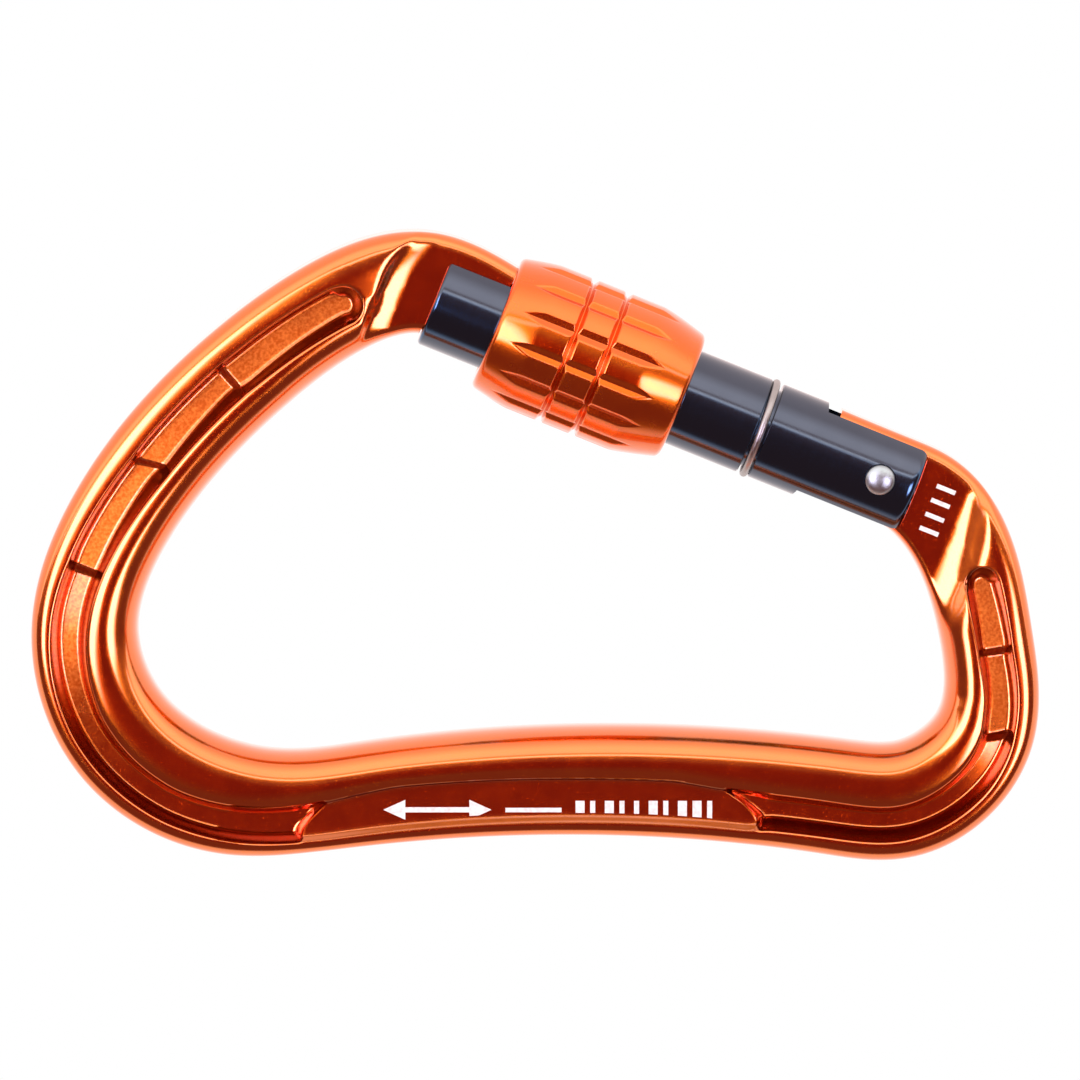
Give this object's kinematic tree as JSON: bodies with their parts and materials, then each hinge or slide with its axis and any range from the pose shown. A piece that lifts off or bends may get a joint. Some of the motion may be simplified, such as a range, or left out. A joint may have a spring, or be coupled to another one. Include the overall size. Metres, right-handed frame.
{
  "type": "locking carabiner",
  "caption": "Pear-shaped screw-lock carabiner: channelled alloy body, sprung tubular gate on a rivet, fluted locking sleeve and a stop ring.",
  "frame": {"origin": "middle of the lowest edge of the body, in the mid-plane of its thickness, with the ring standing on its spine", "axes": "+X along the spine towards the hinge end, +Y across the thickness away from the front face, +Z from the spine towards the gate"},
  "size_m": [0.1006, 0.0152, 0.0629],
  "materials": {
    "orange_anodised": "gloss orange anodising over forged aluminium",
    "gunmetal_anodised": "gloss dark grey anodising over turned aluminium",
    "stainless_wire": "satin drawn wire",
    "stainless_rivet": "bright domed head",
    "spring_steel": "bright drawn wire",
    "brass": "turned brass"
  },
  "bodies": {
    "body": {"body": "orange_anodised"},
    "gate": {"gate": "gunmetal_anodised", "hinge_rivet": "stainless_rivet", "stop_ring": "stainless_wire", "gate_spring": "spring_steel"},
    "plunger": {"spring_plunger": "brass"},
    "sleeve": {"locking_sleeve": "orange_anodised"}
  },
  "joints": [
    {"name": "gate_swing", "type": "hinge", "parent": "body", "child": "gate", "pos_m": [0.0343, 0, 0.0383], "axis": [0, -1, 0], "range_deg": [0, 30], "stiffness_Nm_per_rad": 0.05},
    {"name": "plunger_slide", "type": "slide", "parent": "gate", "child": "plunger", "axis": [-0.9272, 0, 0.3746], "range_m": [0, 0.0007], "deforming": ["gate_spring"]},
    {"name": "sleeve_travel", "type": "slide", "parent": "gate", "child": "sleeve", "axis": [0.9272, 0, -0.3746], "range_m": [0, 0.0078]}
  ],
  "couplings": [
    {"joint": "plunger_slide", "follows": "gate_swing", "m_per_rad": 0.0013}
  ]
}
